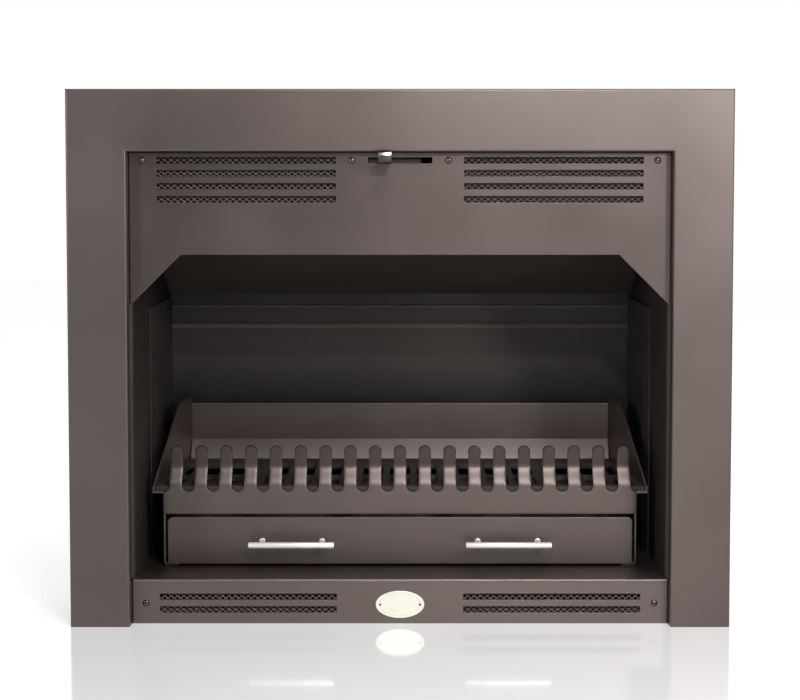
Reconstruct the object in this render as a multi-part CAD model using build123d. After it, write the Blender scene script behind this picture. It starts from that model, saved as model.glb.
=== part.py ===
from build123d import *
import math
import os

# Double-skin convection fireplace insert: a firebox inside an outer casing, closed in front by a vented
# upper and lower panel and a folded surround. A fire basket with an ash drawer stands loose in the firebox.
# Millimetres. While modelling, Y is 0 on the face of the surround and grows towards the flue side, X is 0
# in the middle, and Z is 0 on the hearth. save() moves every piece so that Y is 0 halfway through the depth.

# Surround: one folded sheet, an upside-down U with returns along its outer and inner edges
surround_width = 1020.0
surround_height = 830.0
surround_leg = 92.0
surround_band = 95.0
surround_depth = 20.0
surround_sheet = 2.0
surround_bend = 3.0
surround_inner_bend = 1.0
clip_sheet = 3.0
clip_reach = 24.0
clip_height = 30.0
clip_foot_height = 150.0
clip_head_gap = 80.0

# Front panels
panel_sheet = 2.0
panel_lap = 22.0
lintel_depth = 159.0
lintel_corner = 76.0
lintel_overlap = 1.5

# Outer casing
casing_rise = 35.0
casing_side_gap = 42.5
casing_back_gap = 43.0
casing_sheet = 2.0
casing_flange = 20.0
casing_bend = 3.0

# Firebox
firebox_side_gap = 5.5
firebox_depth = 384.0
firebox_sheet = 3.0
firebox_bend = 4.5
floor_height = 70.0
floor_sheet = 4.0
floor_nose = 2.5
floor_round = 1.8
hood_setback = 38.0
fireback_sheet = 6.0
fireback_drop = 56.0
fireback_bevel = 5.0
rail_sheet = 4.0
rail_height = 30.0
rail_drop = 51.0
cheek_setback = 161.0
cheek_bevel = 45.0
cheek_edge = 1.5
cheek_sheet = 6.0
cheek_drop = 6.0
baffle_gap_height = 90.0
baffle_sheet = 3.0
baffle_rise = 120.0
baffle_depth = 180.0
baffle_lip = 14.0
lining_gap = 0.5

# Flue
flue_radius = 125.0
flue_sheet = 3.0
flue_reach = 58.0
flue_neck = 1.0
flue_collar = 20.0
flue_collar_sheet = 2.0
flue_gap = 1.0

# Inner supports and wall fixings
support_width = 40.0
support_sheet = 3.0
support_setback = 8.0
support_places = (-300.0, 0.0, 300.0)
spacer_width = 33.0
spacer_sheet = 3.0
spacer_foot_height = 180.0
spacer_head_gap = 235.0
spacer_places = (-250.0, 250.0)
lug_sheet = 3.0
lug_setback = 3.0
lug_leg = 40.0
lug_reach = 35.0
lug_height = 40.0
lug_hole_radius = 4.5
lug_hole_reach = 20.0
lug_inset = 150.0

# Vents and the expanded metal behind them
vent_start = 98.5
vent_margin = 43.5
vent_slot = 10.0
vent_pitch = 20.0
upper_vent_drop = 13.5
upper_vent_rows = 4
lower_vent_drop = 28.0
lower_vent_rows = 2
mesh_sheet = 1.5
mesh_cell_length = 40.0
mesh_cell_height = 20.0
mesh_strand = 3.0
mesh_border = 4.0
mesh_tab = 33.0

# Panel screws: coach screws with a rounded head and a square neck
screw_head_radius = 4.5
screw_head_rise = 2.2
screw_crown_radius = 2.4
screw_neck = 5.0
screw_gap = 0.1
screw_outset = 21.5
screw_inset = 24.0
few_sides = 12

# Oval name plate, left bare
plate_width = 76.0
plate_height = 43.0
plate_sheet = 1.5
plate_level = 30.0
plate_pin_spacing = 62.0
plate_pin_radius = 1.8
plate_pin_crown_radius = 1.0
plate_pin_rise = 1.4

# Damper lever, cam plate and flap
slot_length = 99.0
slot_height = 9.5
lever_width = 20.0
lever_height = 16.3
lever_sheet = 3.0
lever_bend = 4.0
lever_corner = 3.0
lever_reach = 50.0
lever_rest = -23.0
lever_end_gap = 0.5
lever_foot_gap = 1.0
cam_width = 110.0
cam_sheet = 3.0
cam_setback = 12.0
cam_margin = 12.0
cam_top_reach = 20.5
guide_sheet = 2.0
guide_lip = 6.0
guide_end = 6.0
slide_gap = 0.3
shaft_radius = 6.0
shaft_drop = 110.0
shaft_setback = 22.0
shaft_end_gap = 1.0
bearing_gap = 0.05
bearing_sheet = 8.0
bearing_height = 40.0
bearing_corner = 10.0
flap_length = 145.0
flap_sheet = 3.0
flap_swing = 45.0
flap_side_gap = 1.5
finger_radius = 4.0
finger_over = 1.5

# Fire basket
basket_setback = 80.0
basket_side_gap = 32.5
basket_sheet = 3.0
basket_bend = 5.0
basket_back_gap = 38.0
basket_flare = 17.0
runner_reach = 20.0
ledge_level = 120.0
ledge_reach = 18.0
grate_rail_reach = 20.0
prong_spacing = 40.0
prong_width = 20.0
prong_top = 192.2
prong_foot = 119.7
prong_low_fold = 131.2
prong_high_fold = 156.7
prong_lean = 17.0
prong_hook = 3.0
prong_bend = 4.0
back_low_fold = 128.7
back_high_fold = 159.7
back_rise = 219.7
back_inset = 13.0
guard_front = 7.0
guard_rise = 236.7
guard_flat = 82.0

# Drop-in grate sections
grate_count = 5
grate_gap = 1.0
grate_overrun = 2.0
grate_thickness = 8.5
grate_slot_width = 34.0
grate_bar = 11.0
grate_slot_count = 3
grate_slot_corner = 3.0
grate_front_rim = 16.0
grate_front_slot = 68.0
grate_web = 10.0
grate_back_rim = 47.0
grate_end_rim = 12.0
guard_gap = 1.5

# Ash drawer
drawer_height = 75.5
drawer_gap = 4.0
drawer_top_gap = 5.4
drawer_sheet = 3.0
drawer_corner = 8.0
pan_sheet = 2.0
pan_height = 66.0
pan_gap = 6.0
pan_back_gap = 5.0
handle_inset = 200.0
handle_level = 36.5
handle_length = 136.0
handle_centres = 96.0
handle_radius = 5.0
handle_reach = 33.0
post_radius = 4.0

# Places that follow from the sizes above
opening_half = surround_width / 2 - surround_leg
opening_top = surround_height - surround_band
panel_front = surround_depth
panel_back = panel_front + panel_sheet
panel_half = opening_half + panel_lap
lintel_height = opening_top - lintel_depth
roof_height = opening_top
firebox_half = opening_half - firebox_side_gap
firebox_outer = firebox_half + firebox_sheet
firebox_back_face = panel_front + firebox_depth
firebox_back_outer = firebox_back_face + firebox_sheet
fireback_face = firebox_back_face - fireback_sheet
baffle_low = lintel_height - baffle_gap_height
casing_inner = firebox_outer + casing_side_gap
casing_half = casing_inner + casing_sheet
casing_height = roof_height + casing_rise
casing_back_inner = firebox_back_outer + casing_back_gap
casing_back_face = casing_back_inner + casing_sheet
hood_face = panel_back + hood_setback
hood_back = hood_face + firebox_sheet
flue_y = (hood_face + firebox_back_outer) / 2
vent_end = opening_half - vent_margin
upper_vent_level = opening_top - upper_vent_drop
lower_vent_level = floor_height - lower_vent_drop

cam_front = panel_back + cam_setback
cam_middle = cam_front + cam_sheet / 2
cam_back = cam_front + cam_sheet
shaft_y = hood_back + shaft_setback
shaft_level = opening_top - shaft_drop
cam_arm = shaft_y - cam_middle
half_swing = math.radians(flap_swing / 2)
lever_travel = (slot_length - lever_width) / 2 - lever_end_gap
cam_rise = cam_arm * math.tan(half_swing)
cam_bow = cam_rise / 2 - cam_arm * math.tan(half_swing / 2)
finger_tilt = finger_radius / math.cos(half_swing) + cam_sheet / 2 * math.tan(half_swing)
cam_slot_radius = finger_tilt + cam_bow + slide_gap
cam_bottom = shaft_level - cam_rise - cam_slot_radius - cam_margin
cam_top = upper_vent_level + cam_top_reach
guide_half = lever_travel + cam_width / 2 + guide_end
finger_length = (shaft_y - cam_front) / math.cos(half_swing) + finger_over
flap_rest = flap_swing / 2 * (1 - lever_rest / lever_travel)
lever_front = panel_front - lever_reach

basket_front_face = panel_front + basket_setback
basket_front_back = basket_front_face + basket_sheet
basket_half = firebox_half - basket_side_gap
basket_inner = basket_half - basket_sheet
basket_base = floor_height + slide_gap
guard_back = fireback_face - basket_back_gap
basket_back_face = guard_back - basket_flare
basket_back_front = basket_back_face - basket_sheet
prong_count = round(2 * basket_half / prong_spacing)
prong_pitch = 2 * basket_half / prong_count
prong_gap = prong_pitch - prong_width
prong_tip = basket_base + prong_top
prong_root = basket_base + prong_foot
back_top = basket_base + back_rise
guard_top = basket_base + guard_rise
ledge_top = basket_base + ledge_level
ledge_edge = basket_half + ledge_reach
grate_top = ledge_top + grate_thickness
grate_pitch = 2 * (ledge_edge + grate_overrun) / grate_count
back_half = basket_half - back_inset
drawer_bottom = basket_base + basket_sheet + slide_gap
drawer_top = drawer_bottom + drawer_height
apron_bottom = drawer_top + drawer_top_gap
drawer_half = basket_inner - drawer_gap
pan_half = basket_inner - pan_gap
pan_front = basket_front_face + drawer_sheet
pan_back = basket_back_front - pan_back_gap
handle_place = drawer_half - handle_inset
handle_y = basket_front_face - handle_reach + handle_radius
handle_z = drawer_bottom + handle_level

depth_middle = (min(lever_front, 0) + casing_back_face) / 2


def save(name, shape):
    shape = Pos(0, -depth_middle, 0) * shape
    shape.label = name
    export_step(shape, f"parts/{name}.step")


def block(x0, x1, y0, y1, z0, z1):
    return Pos((x0 + x1) / 2, (y0 + y1) / 2, (z0 + z1) / 2) * Box(x1 - x0, y1 - y0, z1 - z0)


def front_plane(y):
    """A drawing plane that faces the viewer: local x is X and local y is Z."""
    return Plane(origin=(0, y, 0), x_dir=(1, 0, 0), z_dir=(0, -1, 0))


def plate(sketch, y0, y1):
    """A sketch of the front view, as a plate from y0 to y1."""
    return extrude(front_plane(y0) * sketch, amount=y1 - y0, dir=(0, 1, 0))


def rectangle(x0, x1, z0, z1):
    return Pos((x0 + x1) / 2, (z0 + z1) / 2) * Rectangle(x1 - x0, z1 - z0)


def polygon(*points):
    return make_face(Polyline(*points, close=True))


def folded(points, thickness, bend):
    """The section of a folded sheet along the middle line through points."""
    return trace(FilletPolyline(*points, radius=bend), thickness)


def along_x(section, x0, x1):
    return extrude(Plane.YZ.offset(x0) * section, amount=x1 - x0)


def along_z(section, z0, z1):
    return extrude(Plane.XY.offset(z0) * section, amount=z1 - z0)


def rod(start, end, radius):
    path = Vector(*end) - Vector(*start)
    return extrude(Plane(origin=start, z_dir=path) * Circle(radius), amount=path.length)


def both_sides(shape):
    return [shape, mirror(shape, about=Plane.YZ)]


def group(shapes):
    return Compound(children=list(shapes))


# Surround and panels


def surround_block(inset, y0, bend):
    outline = polygon(
        (-surround_width / 2 + inset, -inset),
        (-surround_width / 2 + inset, surround_height - inset),
        (surround_width / 2 - inset, surround_height - inset),
        (surround_width / 2 - inset, -inset),
        (opening_half + inset, -inset),
        (opening_half + inset, opening_top + inset),
        (-opening_half - inset, opening_top + inset),
        (-opening_half - inset, -inset),
    )
    body = plate(outline, y0, surround_depth)
    front_edges = body.faces().sort_by(Axis.Y)[0].edges()
    folds = [e for e in front_edges if e.center().Z > 0]
    return fillet(folds, radius=bend)


def surround_frame():
    hollow = surround_block(surround_sheet, surround_sheet, surround_inner_bend)
    return surround_block(0, 0, surround_bend) - hollow


def surround_clips():
    wall = opening_half + surround_sheet
    leg = surround_sheet + surround_bend
    outline = polygon(
        (wall, leg),
        (wall + clip_sheet, leg),
        (wall + clip_sheet, panel_back - clip_sheet),
        (wall + clip_reach, panel_back - clip_sheet),
        (wall + clip_reach, panel_back),
        (wall, panel_back),
    )
    heights = (clip_foot_height, lintel_height - lintel_corner - clip_head_gap)
    clips = [along_z(outline, z - clip_height / 2, z + clip_height / 2) for z in heights]
    return group(s for clip in clips for s in both_sides(clip))


def vent_slots(level, rows):
    slots = Sketch()
    for row in range(rows):
        z = level - row * vent_pitch
        slot = rectangle(vent_start, vent_end, z - vent_slot / 2, z + vent_slot / 2)
        slots += slot + mirror(slot, about=Plane.YZ)
    return slots


def screw_places():
    """X and Z of each panel screw: both ends of each upper vent, outer end of each lower vent."""
    lower_level = lower_vent_level - (lower_vent_rows - 1) * vent_pitch / 2
    places = []
    for side in (-1, 1):
        places.append((side * (vent_end + screw_outset), upper_vent_level))
        places.append((side * (vent_start - screw_inset), upper_vent_level))
        places.append((side * (vent_end + screw_outset), lower_level))
    return places


def screw_holes(low, high):
    """The square necks' holes between two heights."""
    width = screw_neck + 2 * screw_gap
    return Sketch() + [Pos(x, z) * Rectangle(width, width) for x, z in screw_places() if low < z < high]


def upper_front_panel():
    corner = lintel_height - lintel_corner
    foot = firebox_half + lintel_overlap
    outline = polygon(
        (-panel_half, casing_height),
        (panel_half, casing_height),
        (panel_half, corner),
        (foot, corner),
        (foot - lintel_corner, lintel_height),
        (lintel_corner - foot, lintel_height),
        (-foot, corner),
        (-panel_half, corner),
    )
    lever_slot = Pos(0, upper_vent_level) * Rectangle(slot_length, slot_height)
    holes = lever_slot + screw_holes(lintel_height, casing_height)
    return plate(outline - vent_slots(upper_vent_level, upper_vent_rows) - holes, panel_front, panel_back)


def lower_front_panel():
    top = floor_height - floor_sheet
    outline = rectangle(-panel_half, panel_half, 0, top) - screw_holes(0, top)
    return plate(outline - vent_slots(lower_vent_level, lower_vent_rows), panel_front, panel_back)


def vent_mesh(level, rows):
    """Expanded metal behind one vent group, on the right, with plain ends for the screws."""
    low = level - (rows - 1) * vent_pitch - vent_slot / 2 - mesh_border
    high = level + vent_slot / 2 + mesh_border
    outline = rectangle(vent_start - mesh_tab, vent_end + mesh_tab, low, high)
    columns = math.ceil((vent_end - vent_start) / mesh_cell_length)
    cell_length = (vent_end - vent_start) / columns
    ranks = 2 * round((high - low - mesh_strand) / mesh_cell_height) - 1
    cell_height = 2 * (high - low - mesh_strand) / (ranks + 1)
    half_x = cell_length / 2 - mesh_strand * cell_length / cell_height / 2
    half_z = cell_height / 2 - mesh_strand / 2
    screw_width = screw_neck + 2 * screw_gap
    holes = []
    for rank in range(ranks):
        z = low + mesh_strand / 2 + (rank + 1) * cell_height / 2
        for column in range(columns - rank % 2):
            x = vent_start + (column + 0.5 + 0.5 * (rank % 2)) * cell_length
            corners = [(x - half_x, z), (x, z - half_z), (x + half_x, z), (x, z + half_z)]
            holes.append(Polyline(*corners, close=True))
    for x, z in screw_places():
        if x > 0 and low < z < high:
            holes.append(Pos(x, z) * Rectangle(screw_width, screw_width).wire())
    sheet = Face(outline.face().outer_wire(), [Wire(hole.edges()) for hole in holes])
    return plate(sheet, panel_back, panel_back + mesh_sheet)


def coned_head(radius, crown_radius, rise):
    """A fastener's head in front of y = 0, on few sides because it repeats."""
    slope = math.degrees(math.atan2(radius - crown_radius, rise))
    return extrude(front_plane(0) * RegularPolygon(radius, few_sides), amount=rise, taper=slope)


def panel_screws():
    half = screw_neck / 2
    screw = coned_head(screw_head_radius, screw_crown_radius, screw_head_rise)
    screw += block(-half, half, 0, panel_sheet + mesh_sheet, -half, half)
    return group(Pos(x, panel_front, z) * screw for x, z in screw_places())


def name_plate():
    oval = Pos(0, plate_level) * Ellipse(plate_width / 2, plate_height / 2)
    return plate(oval, panel_front - plate_sheet, panel_front)


def name_plate_pins():
    pin = coned_head(plate_pin_radius, plate_pin_crown_radius, plate_pin_rise)
    return group(both_sides(Pos(plate_pin_spacing / 2, panel_front - plate_sheet, plate_level) * pin))


# Firebox


def firebox_floor():
    floor = block(
        -firebox_outer, firebox_outer, panel_front - floor_nose, firebox_back_outer,
        floor_height - floor_sheet, floor_height,
    )
    nose = floor.faces().sort_by(Axis.Y)[0].edges().filter_by(Axis.X)
    return fillet(nose, radius=floor_round)


def firebox_side():
    """Right-hand firebox wall with the jamb flange that closes the air space beside it."""
    wall = firebox_half + firebox_sheet / 2
    jamb = panel_back + firebox_sheet / 2
    points = [(wall, firebox_back_face), (wall, jamb), (casing_inner, jamb)]
    return along_z(folded(points, firebox_sheet, firebox_bend), floor_height, roof_height)


def firebox_back():
    return block(
        -firebox_outer, firebox_outer, firebox_back_face, firebox_back_outer, floor_height, roof_height
    )


def fireback_plate():
    half = firebox_half - lining_gap
    top = baffle_low - fireback_drop
    section = polygon(
        (fireback_face, floor_height),
        (firebox_back_face, floor_height),
        (firebox_back_face, top),
        (fireback_face + fireback_bevel, top),
        (fireback_face, top - fireback_bevel),
    )
    return along_x(section, -half, half)


def fireback_rail():
    half = firebox_half - lining_gap
    low = baffle_low - rail_drop
    face = firebox_back_face - rail_sheet
    section = polygon(
        (face, low),
        (firebox_back_face, low),
        (firebox_back_face, low + rail_height),
        (face, low + rail_height - rail_sheet),
    )
    return along_x(section, -half, half)


def cheek_plate():
    start = panel_back + cheek_setback
    section = polygon(
        (firebox_half, start),
        (firebox_half - cheek_edge, start),
        (firebox_half - cheek_sheet, start + cheek_bevel),
        (firebox_half - cheek_sheet, fireback_face),
        (firebox_half, fireback_face),
    )
    return along_z(section, floor_height, baffle_low - cheek_drop)


def smoke_baffle():
    lip_y = firebox_back_face - baffle_depth
    overrun = baffle_sheet * 2
    slope = baffle_rise / baffle_depth
    points = [
        (firebox_back_face + overrun, baffle_low - overrun * slope),
        (lip_y, baffle_low + baffle_rise),
        (lip_y, baffle_low + baffle_rise + baffle_lip),
    ]
    sheet = along_x(folded(points, baffle_sheet, firebox_bend), -firebox_half, firebox_half)
    return sheet - block(-firebox_half, firebox_half, firebox_back_face, casing_back_inner, 0, roof_height)


def hood_front():
    """Folded wall behind the upper vents, with a slot that the damper finger passes through."""
    middle = hood_face + firebox_sheet / 2
    foot = lintel_height + firebox_sheet / 2
    points = [(panel_back, foot), (middle, foot), (middle, roof_height)]
    wall = along_x(folded(points, firebox_sheet, firebox_bend), -firebox_half, firebox_half)
    reach = (shaft_y - hood_face) * math.tan(half_swing) + finger_radius / math.cos(half_swing)
    half_slot = finger_radius + finger_over
    slot = block(
        -half_slot, half_slot, hood_face, hood_back,
        shaft_level - reach - finger_over, shaft_level + reach + finger_over,
    )
    return wall - slot


def firebox_roof():
    top = roof_height + firebox_sheet
    roof = block(-firebox_outer, firebox_outer, hood_face, firebox_back_outer, roof_height, top)
    return roof - rod((0, flue_y, roof_height), (0, flue_y, top), flue_radius - flue_sheet)


def flue_spigot():
    """Pipe stub on the roof, with a square collar that covers the gap in the casing top. Its neck below
    the collar is a little thinner than the part that the flue pipe slides over."""
    foot = roof_height + firebox_sheet
    tip = casing_height + flue_reach
    half = flue_radius + flue_collar
    collar = block(
        -half, half, flue_y - half, flue_y + half, casing_height, casing_height + flue_collar_sheet
    )
    neck = rod((0, flue_y, foot), (0, flue_y, casing_height), flue_radius - flue_neck)
    pipe = rod((0, flue_y, casing_height), (0, flue_y, tip), flue_radius)
    return collar + neck + pipe - rod((0, flue_y, foot), (0, flue_y, tip), flue_radius - flue_sheet)


# Casing and supports


def casing_side():
    wall = casing_half - casing_sheet / 2
    flange = casing_back_inner - casing_sheet / 2
    points = [(wall, panel_back), (wall, flange), (wall - casing_flange, flange)]
    return along_z(folded(points, casing_sheet, casing_bend), casing_sheet, casing_height - casing_sheet)


def casing_back():
    top = casing_height - casing_sheet
    return block(-casing_half, casing_half, casing_back_inner, casing_back_face, casing_sheet, top)


def casing_base():
    return block(-casing_half, casing_half, panel_back, casing_back_face, 0, casing_sheet)


def casing_top():
    low = casing_height - casing_sheet
    sheet = block(-casing_half, casing_half, panel_back, casing_back_face, low, casing_height)
    return sheet - rod((0, flue_y, low), (0, flue_y, casing_height), flue_radius + flue_gap)


def channel(width, sheet, foot, web):
    """Section of an open channel: two legs from foot to a web whose outer face is at web."""
    half = width / 2
    return rectangle(-half, half, foot, web) - rectangle(sheet - half, half - sheet, foot, web - sheet)


def floor_supports():
    section = channel(support_width, support_sheet, casing_sheet, floor_height - floor_sheet)
    channels = plate(section, panel_back + support_setback, firebox_back_face)
    return group(Pos(x, 0, 0) * channels for x in support_places)


def back_spacers():
    section = channel(spacer_width, spacer_sheet, firebox_back_outer, casing_back_inner)
    spacer = along_z(section, floor_height + spacer_foot_height, roof_height - spacer_head_gap)
    return group(Pos(x, 0, 0) * spacer for x in spacer_places)


def wall_lugs():
    front = panel_back + lug_setback
    section = polygon(
        (casing_half, front),
        (casing_half + lug_reach, front),
        (casing_half + lug_reach, front + lug_sheet),
        (casing_half + lug_sheet, front + lug_sheet),
        (casing_half + lug_sheet, front + lug_leg),
        (casing_half, front + lug_leg),
    )
    lug = along_z(section, -lug_height / 2, lug_height / 2)
    place = casing_half + lug_hole_reach
    lug -= rod((place, front, 0), (place, front + lug_sheet, 0), lug_hole_radius)
    heights = (lug_inset, casing_height - lug_inset)
    return group(s for z in heights for s in both_sides(Pos(0, 0, z) * lug))


# Damper


def damper_guide(edge, into):
    """Rail behind the upper panel, grooved for the cam plate. into is 1 if the groove opens upwards."""
    web = edge - into * slide_gap
    front_lip = cam_front - slide_gap
    back_lip = cam_back + slide_gap
    section = polygon(
        (panel_back, web - into * guide_sheet),
        (back_lip + guide_sheet, web - into * guide_sheet),
        (back_lip + guide_sheet, web + into * guide_lip),
        (back_lip, web + into * guide_lip),
        (back_lip, web),
        (front_lip, web),
        (front_lip, web + into * guide_lip),
        (front_lip - guide_sheet, web + into * guide_lip),
        (front_lip - guide_sheet, web),
        (panel_back, web),
    )
    return along_x(section, -guide_half, guide_half)


def cam_plate():
    """Slides with the lever. Its slanting slot falls to the right, so moving left pulls the finger down."""
    outline = rectangle(-cam_width / 2, cam_width / 2, cam_bottom, cam_top)
    ends = [Pos(-lever_travel, shaft_level + cam_rise), Pos(lever_travel, shaft_level - cam_rise)]
    slot = make_hull((Sketch() + [end * Circle(cam_slot_radius) for end in ends]).edges())
    return Pos(lever_rest, 0, 0) * plate(outline - slot, cam_front, cam_back)


def damper_lever():
    foot = upper_vent_level - slot_height / 2 + lever_foot_gap
    middle = foot + lever_sheet / 2
    face = lever_front + lever_sheet / 2
    points = [(cam_front, middle), (face, middle), (face, foot + lever_height)]
    tab = along_x(folded(points, lever_sheet, lever_bend), -lever_width / 2, lever_width / 2)
    corners = tab.edges().filter_by(Axis.Y).group_by(Axis.Z)[-1]
    return Pos(lever_rest, 0, 0) * fillet(corners, radius=lever_corner)


def damper_shaft():
    half = firebox_half - shaft_end_gap
    return rod((-half, shaft_y, shaft_level), (half, shaft_y, shaft_level), shaft_radius)


def damper_bearing():
    half = bearing_height / 2
    body = block(
        firebox_half - bearing_sheet, firebox_half, shaft_y - half, shaft_y + half,
        shaft_level - half, shaft_level + half,
    )
    body = chamfer(body.edges().filter_by(Axis.X), length=bearing_corner)
    bore = rod((0, shaft_y, shaft_level), (firebox_half, shaft_y, shaft_level), shaft_radius + bearing_gap)
    return body - bore


def at_shaft(shape, degrees):
    """Places a shape drawn about the X axis on the shaft, with its +Y side turned up by degrees."""
    return Pos(0, shaft_y, shaft_level) * Rot(degrees, 0, 0) * shape


def damper_flap():
    half = firebox_half - bearing_sheet - flap_side_gap
    flap = block(-half, half, 0, flap_length, -flap_sheet / 2, flap_sheet / 2)
    flap -= rod((-half, 0, 0), (half, 0, 0), shaft_radius)
    return at_shaft(flap, flap_rest)


def damper_finger():
    finger = rod((0, 0, 0), (0, -finger_length, 0), finger_radius)
    finger -= rod((-shaft_radius, 0, 0), (shaft_radius, 0, 0), shaft_radius)
    return at_shaft(finger, flap_rest - flap_swing / 2)


# Fire basket


def prong_sketch():
    """Front view of the basket front: an apron, and round-topped prongs with round-bottomed gaps between."""
    gap_centre = prong_root + prong_gap / 2
    tip_centre = prong_tip - prong_width / 2
    outline = rectangle(-basket_half, basket_half, apron_bottom, gap_centre)
    prongs, gaps = [], []
    for i in range(prong_count):
        x = (i - (prong_count - 1) / 2) * prong_pitch
        prongs.append(rectangle(x - prong_width / 2, x + prong_width / 2, gap_centre, tip_centre))
        prongs.append(Pos(x, tip_centre) * RegularPolygon(prong_width / 2, few_sides))
        gaps.append(Pos(x - prong_pitch / 2, gap_centre) * RegularPolygon(prong_gap / 2, few_sides))
    gaps.append(Pos(basket_half, gap_centre) * RegularPolygon(prong_gap / 2, few_sides))
    return outline - gaps + prongs


def basket_front():
    middle = basket_front_face + basket_sheet / 2
    points = [
        (middle, apron_bottom - basket_sheet),
        (middle, basket_base + prong_low_fold),
        (middle + prong_lean, basket_base + prong_high_fold),
        (middle + prong_lean - prong_hook, prong_tip + basket_sheet),
    ]
    sheet = along_x(folded(points, basket_sheet, prong_bend), -basket_half, basket_half)
    return sheet & plate(prong_sketch(), basket_front_face, basket_back_front)


def basket_side():
    """Right-hand side sheet: a runner for the drawer, the wall, and an outward ledge for the grate."""
    wall = basket_half - basket_sheet / 2
    runner = basket_base + basket_sheet / 2
    ledge = ledge_top - basket_sheet / 2
    points = [(basket_inner - runner_reach, runner), (wall, runner), (wall, ledge), (ledge_edge, ledge)]
    return plate(folded(points, basket_sheet, basket_bend), basket_front_back, basket_back_front)


def guard_inner(y):
    """X of the right-hand guard's inner face at depth y."""
    front = ledge_edge - basket_sheet
    return front + (back_half - front) * (y - basket_front_face) / (guard_back - basket_front_face)


def basket_guard():
    y0, y1 = basket_front_back, guard_back
    plan = polygon(
        (guard_inner(y0), y0),
        (guard_inner(y0) + basket_sheet, y0),
        (guard_inner(y1) + basket_sheet, y1),
        (guard_inner(y1), y1),
    )
    elevation = polygon(
        (y0, ledge_top),
        (y1, ledge_top),
        (y1, guard_top),
        (y1 - guard_flat, guard_top),
        (y0, ledge_top + guard_front),
    )
    return along_z(plan, ledge_top, guard_top) & along_x(elevation, 0, ledge_edge)


def basket_back():
    middle = basket_back_front + basket_sheet / 2
    points = [
        (middle, basket_base),
        (middle, basket_base + back_low_fold),
        (middle + basket_flare, basket_base + back_high_fold),
        (middle + basket_flare, back_top),
    ]
    sheet = along_x(folded(points, basket_sheet, prong_bend), -basket_half, basket_half)
    outline = rectangle(-basket_half, basket_half, basket_base, ledge_top)
    outline += rectangle(-back_half, back_half, ledge_top, back_top)
    return sheet & plate(outline, basket_front_face, guard_back + basket_sheet)


def grate_rail(wall, into):
    """Angle that carries the grate, on the sheet at y = wall. into is 1 if it reaches backwards."""
    section = polygon(
        (wall, ledge_top),
        (wall + into * grate_rail_reach, ledge_top),
        (wall + into * grate_rail_reach, ledge_top - basket_sheet),
        (wall + into * basket_sheet, ledge_top - basket_sheet),
        (wall + into * basket_sheet, ledge_top - grate_rail_reach),
        (wall, ledge_top - grate_rail_reach),
    )
    return along_x(section, -basket_inner, basket_inner)


def grate_section(index):
    """Cast grate section. The two end sections taper to follow the guards."""
    half = (grate_pitch - grate_gap) / 2
    centre = (index - (grate_count - 1) / 2) * grate_pitch
    y0 = basket_front_back + grate_gap
    y1 = basket_back_front - grate_gap

    def region(margin):
        """The plan of the room between the guards, less a margin on each side."""
        points = [(guard_inner(y) - guard_gap - margin, y) for y in (y0, y1)]
        return polygon(*points, *[(-x, y) for x, y in reversed(points)])

    outline = rectangle(centre - half, centre + half, y0, y1) & region(0)
    front_start = y0 + grate_front_rim
    front_end = front_start + grate_front_slot
    rows = [(front_start, front_end), (front_end + grate_web, y1 - grate_back_rim)]
    slots = []
    for start, end in rows:
        for column in range(grate_slot_count):
            x = centre + (column - (grate_slot_count - 1) / 2) * (grate_slot_width + grate_bar)
            slot = rectangle(x - grate_slot_width / 2, x + grate_slot_width / 2, start, end)
            slot = slot & region(grate_end_rim)
            slots.append(chamfer(slot.vertices(), length=grate_slot_corner))
    return along_z(outline - slots, ledge_top, grate_top)


# Ash drawer


def post_places():
    ends = (-handle_centres / 2, handle_centres / 2)
    return [side * handle_place + end for side in (-1, 1) for end in ends]


def drawer_front():
    outline = rectangle(-drawer_half, drawer_half, drawer_bottom, drawer_top)
    top_corners = outline.vertices().group_by(Axis.Y)[-1]
    return plate(fillet(top_corners, radius=drawer_corner), basket_front_face, pan_front)


def ash_pan():
    top = drawer_bottom + pan_height
    inner = pan_half - pan_sheet
    pan_floor = drawer_bottom + pan_sheet
    pan = block(-pan_half, pan_half, pan_front, pan_back, drawer_bottom, top)
    return pan - block(-inner, inner, pan_front + pan_sheet, pan_back - pan_sheet, pan_floor, top)


def handle_bar():
    half = handle_length / 2
    ends = [(handle_place + side * half, handle_y, handle_z) for side in (-1, 1)]
    return rod(*ends, handle_radius)


def handle_posts():
    bars = both_sides(handle_bar())
    ends = [((x, basket_front_face, handle_z), (x, handle_y, handle_z)) for x in post_places()]
    return group(rod(foot, tip, post_radius) - bars for foot, tip in ends)


def pair(name, shape):
    """Saves a right-hand piece and its mirror image."""
    for side, piece in zip(("right", "left"), both_sides(shape)):
        save(f"{name}_{side}", piece)


os.makedirs("parts", exist_ok=True)

save("surround_frame", surround_frame())
save("surround_clips", surround_clips())
save("upper_front_panel", upper_front_panel())
save("lower_front_panel", lower_front_panel())
pair("vent_mesh_upper", vent_mesh(upper_vent_level, upper_vent_rows))
pair("vent_mesh_lower", vent_mesh(lower_vent_level, lower_vent_rows))
save("panel_screws", panel_screws())
save("name_plate", name_plate())
save("name_plate_pins", name_plate_pins())

save("firebox_floor", firebox_floor())
pair("firebox_side", firebox_side())
save("firebox_back", firebox_back())
save("firebox_roof", firebox_roof())
save("fireback_plate", fireback_plate())
save("fireback_rail", fireback_rail())
pair("cheek_plate", cheek_plate())
save("smoke_baffle", smoke_baffle())
save("hood_front", hood_front())
save("flue_spigot", flue_spigot())

pair("casing_side", casing_side())
save("casing_back", casing_back())
save("casing_base", casing_base())
save("casing_top", casing_top())
save("floor_supports", floor_supports())
save("back_spacers", back_spacers())
save("wall_lugs", wall_lugs())

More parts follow.
